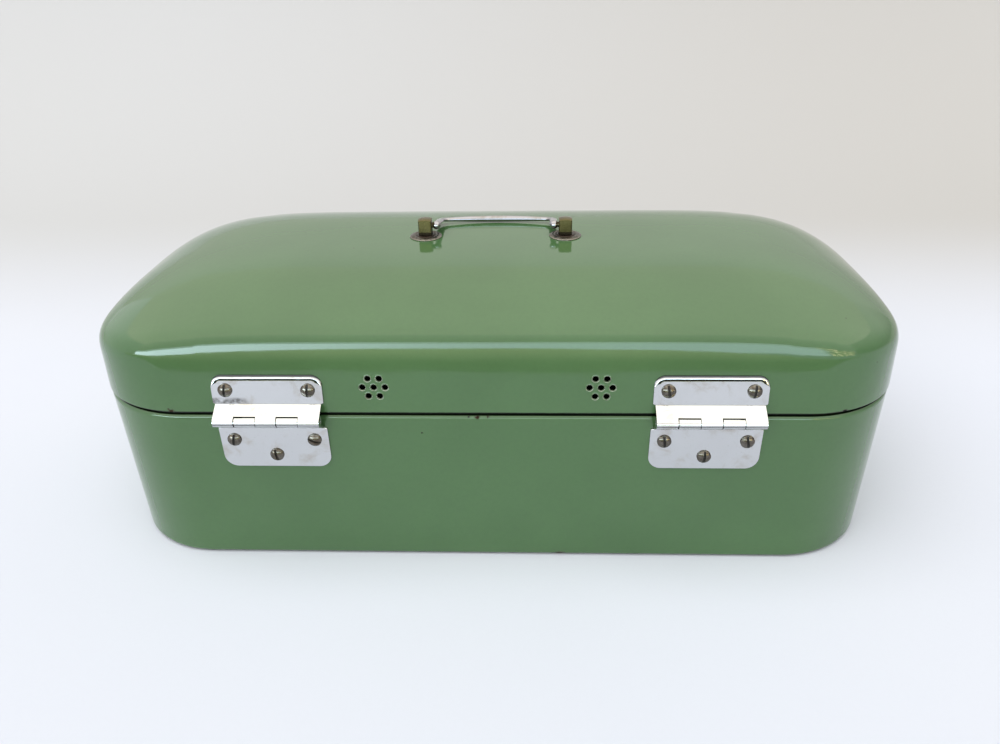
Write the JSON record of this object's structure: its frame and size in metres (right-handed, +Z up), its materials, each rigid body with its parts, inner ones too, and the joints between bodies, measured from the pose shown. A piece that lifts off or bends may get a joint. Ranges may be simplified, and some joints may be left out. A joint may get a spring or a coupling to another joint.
{
  "type": "hinged lid bread box",
  "caption": "Long enamelled steel bread box with a crowned hinged lid, a folding bail handle on top, cranked butt hinges, vent holes and a front hasp.",
  "frame": {"origin": "middle of the flat underside of the base", "axes": "+X along the length, +Y towards the hinges at the back, +Z up; the hasp faces -Y"},
  "size_m": [0.4398, 0.2248, 0.1669],
  "materials": {
    "green_enamel": "glossy fired enamel",
    "hinge_chrome": "polished, lightly worn",
    "handle_chrome": "polished, lightly worn",
    "latch_chrome": "polished, lightly worn",
    "screw_steel": "tarnished",
    "nut_steel": "dull",
    "washer_steel": "dark, oxidised",
    "pin_steel": "satin"
  },
  "bodies": {
    "base": {"base_tub": "green_enamel", "hinge_base_nuts": "nut_steel", "hinge_base_screws": "screw_steel", "hinge_left_base_leaf": "hinge_chrome", "hinge_left_pin": "pin_steel", "hinge_right_base_leaf": "hinge_chrome", "hinge_right_pin": "pin_steel", "latch_catch_nuts": "nut_steel", "latch_catch_plate": "latch_chrome", "latch_catch_screws": "screw_steel"},
    "lid": {"handle_inner_washers": "nut_steel", "handle_nuts": "nut_steel", "handle_post_left": "handle_chrome", "handle_post_right": "handle_chrome", "handle_washers": "washer_steel", "hinge_left_lid_leaf": "hinge_chrome", "hinge_lid_nuts": "nut_steel", "hinge_lid_screws": "screw_steel", "hinge_right_lid_leaf": "hinge_chrome", "latch_lid_nuts": "nut_steel", "latch_lid_plate": "latch_chrome", "latch_lid_screws": "screw_steel", "latch_pin": "pin_steel", "lid_shell": "green_enamel"},
    "bail": {"handle_bail": "handle_chrome"},
    "hasp": {"latch_hasp": "latch_chrome"}
  },
  "joints": [
    {"name": "lid_hinge", "type": "hinge", "parent": "base", "child": "lid", "pos_m": [0, 0.1099, 0.09465], "axis": [-1, 0, 0], "range_deg": [0, 110]},
    {"name": "bail_swing", "type": "hinge", "parent": "lid", "child": "bail", "pos_m": [0, 0, 0.1627], "axis": [-1, 0, 0], "range_deg": [0, 159]},
    {"name": "hasp_swing", "type": "hinge", "parent": "lid", "child": "hasp", "pos_m": [0, -0.1063, 0.0994], "axis": [-1, 0, 0], "range_deg": [0, 110]}
  ]
}
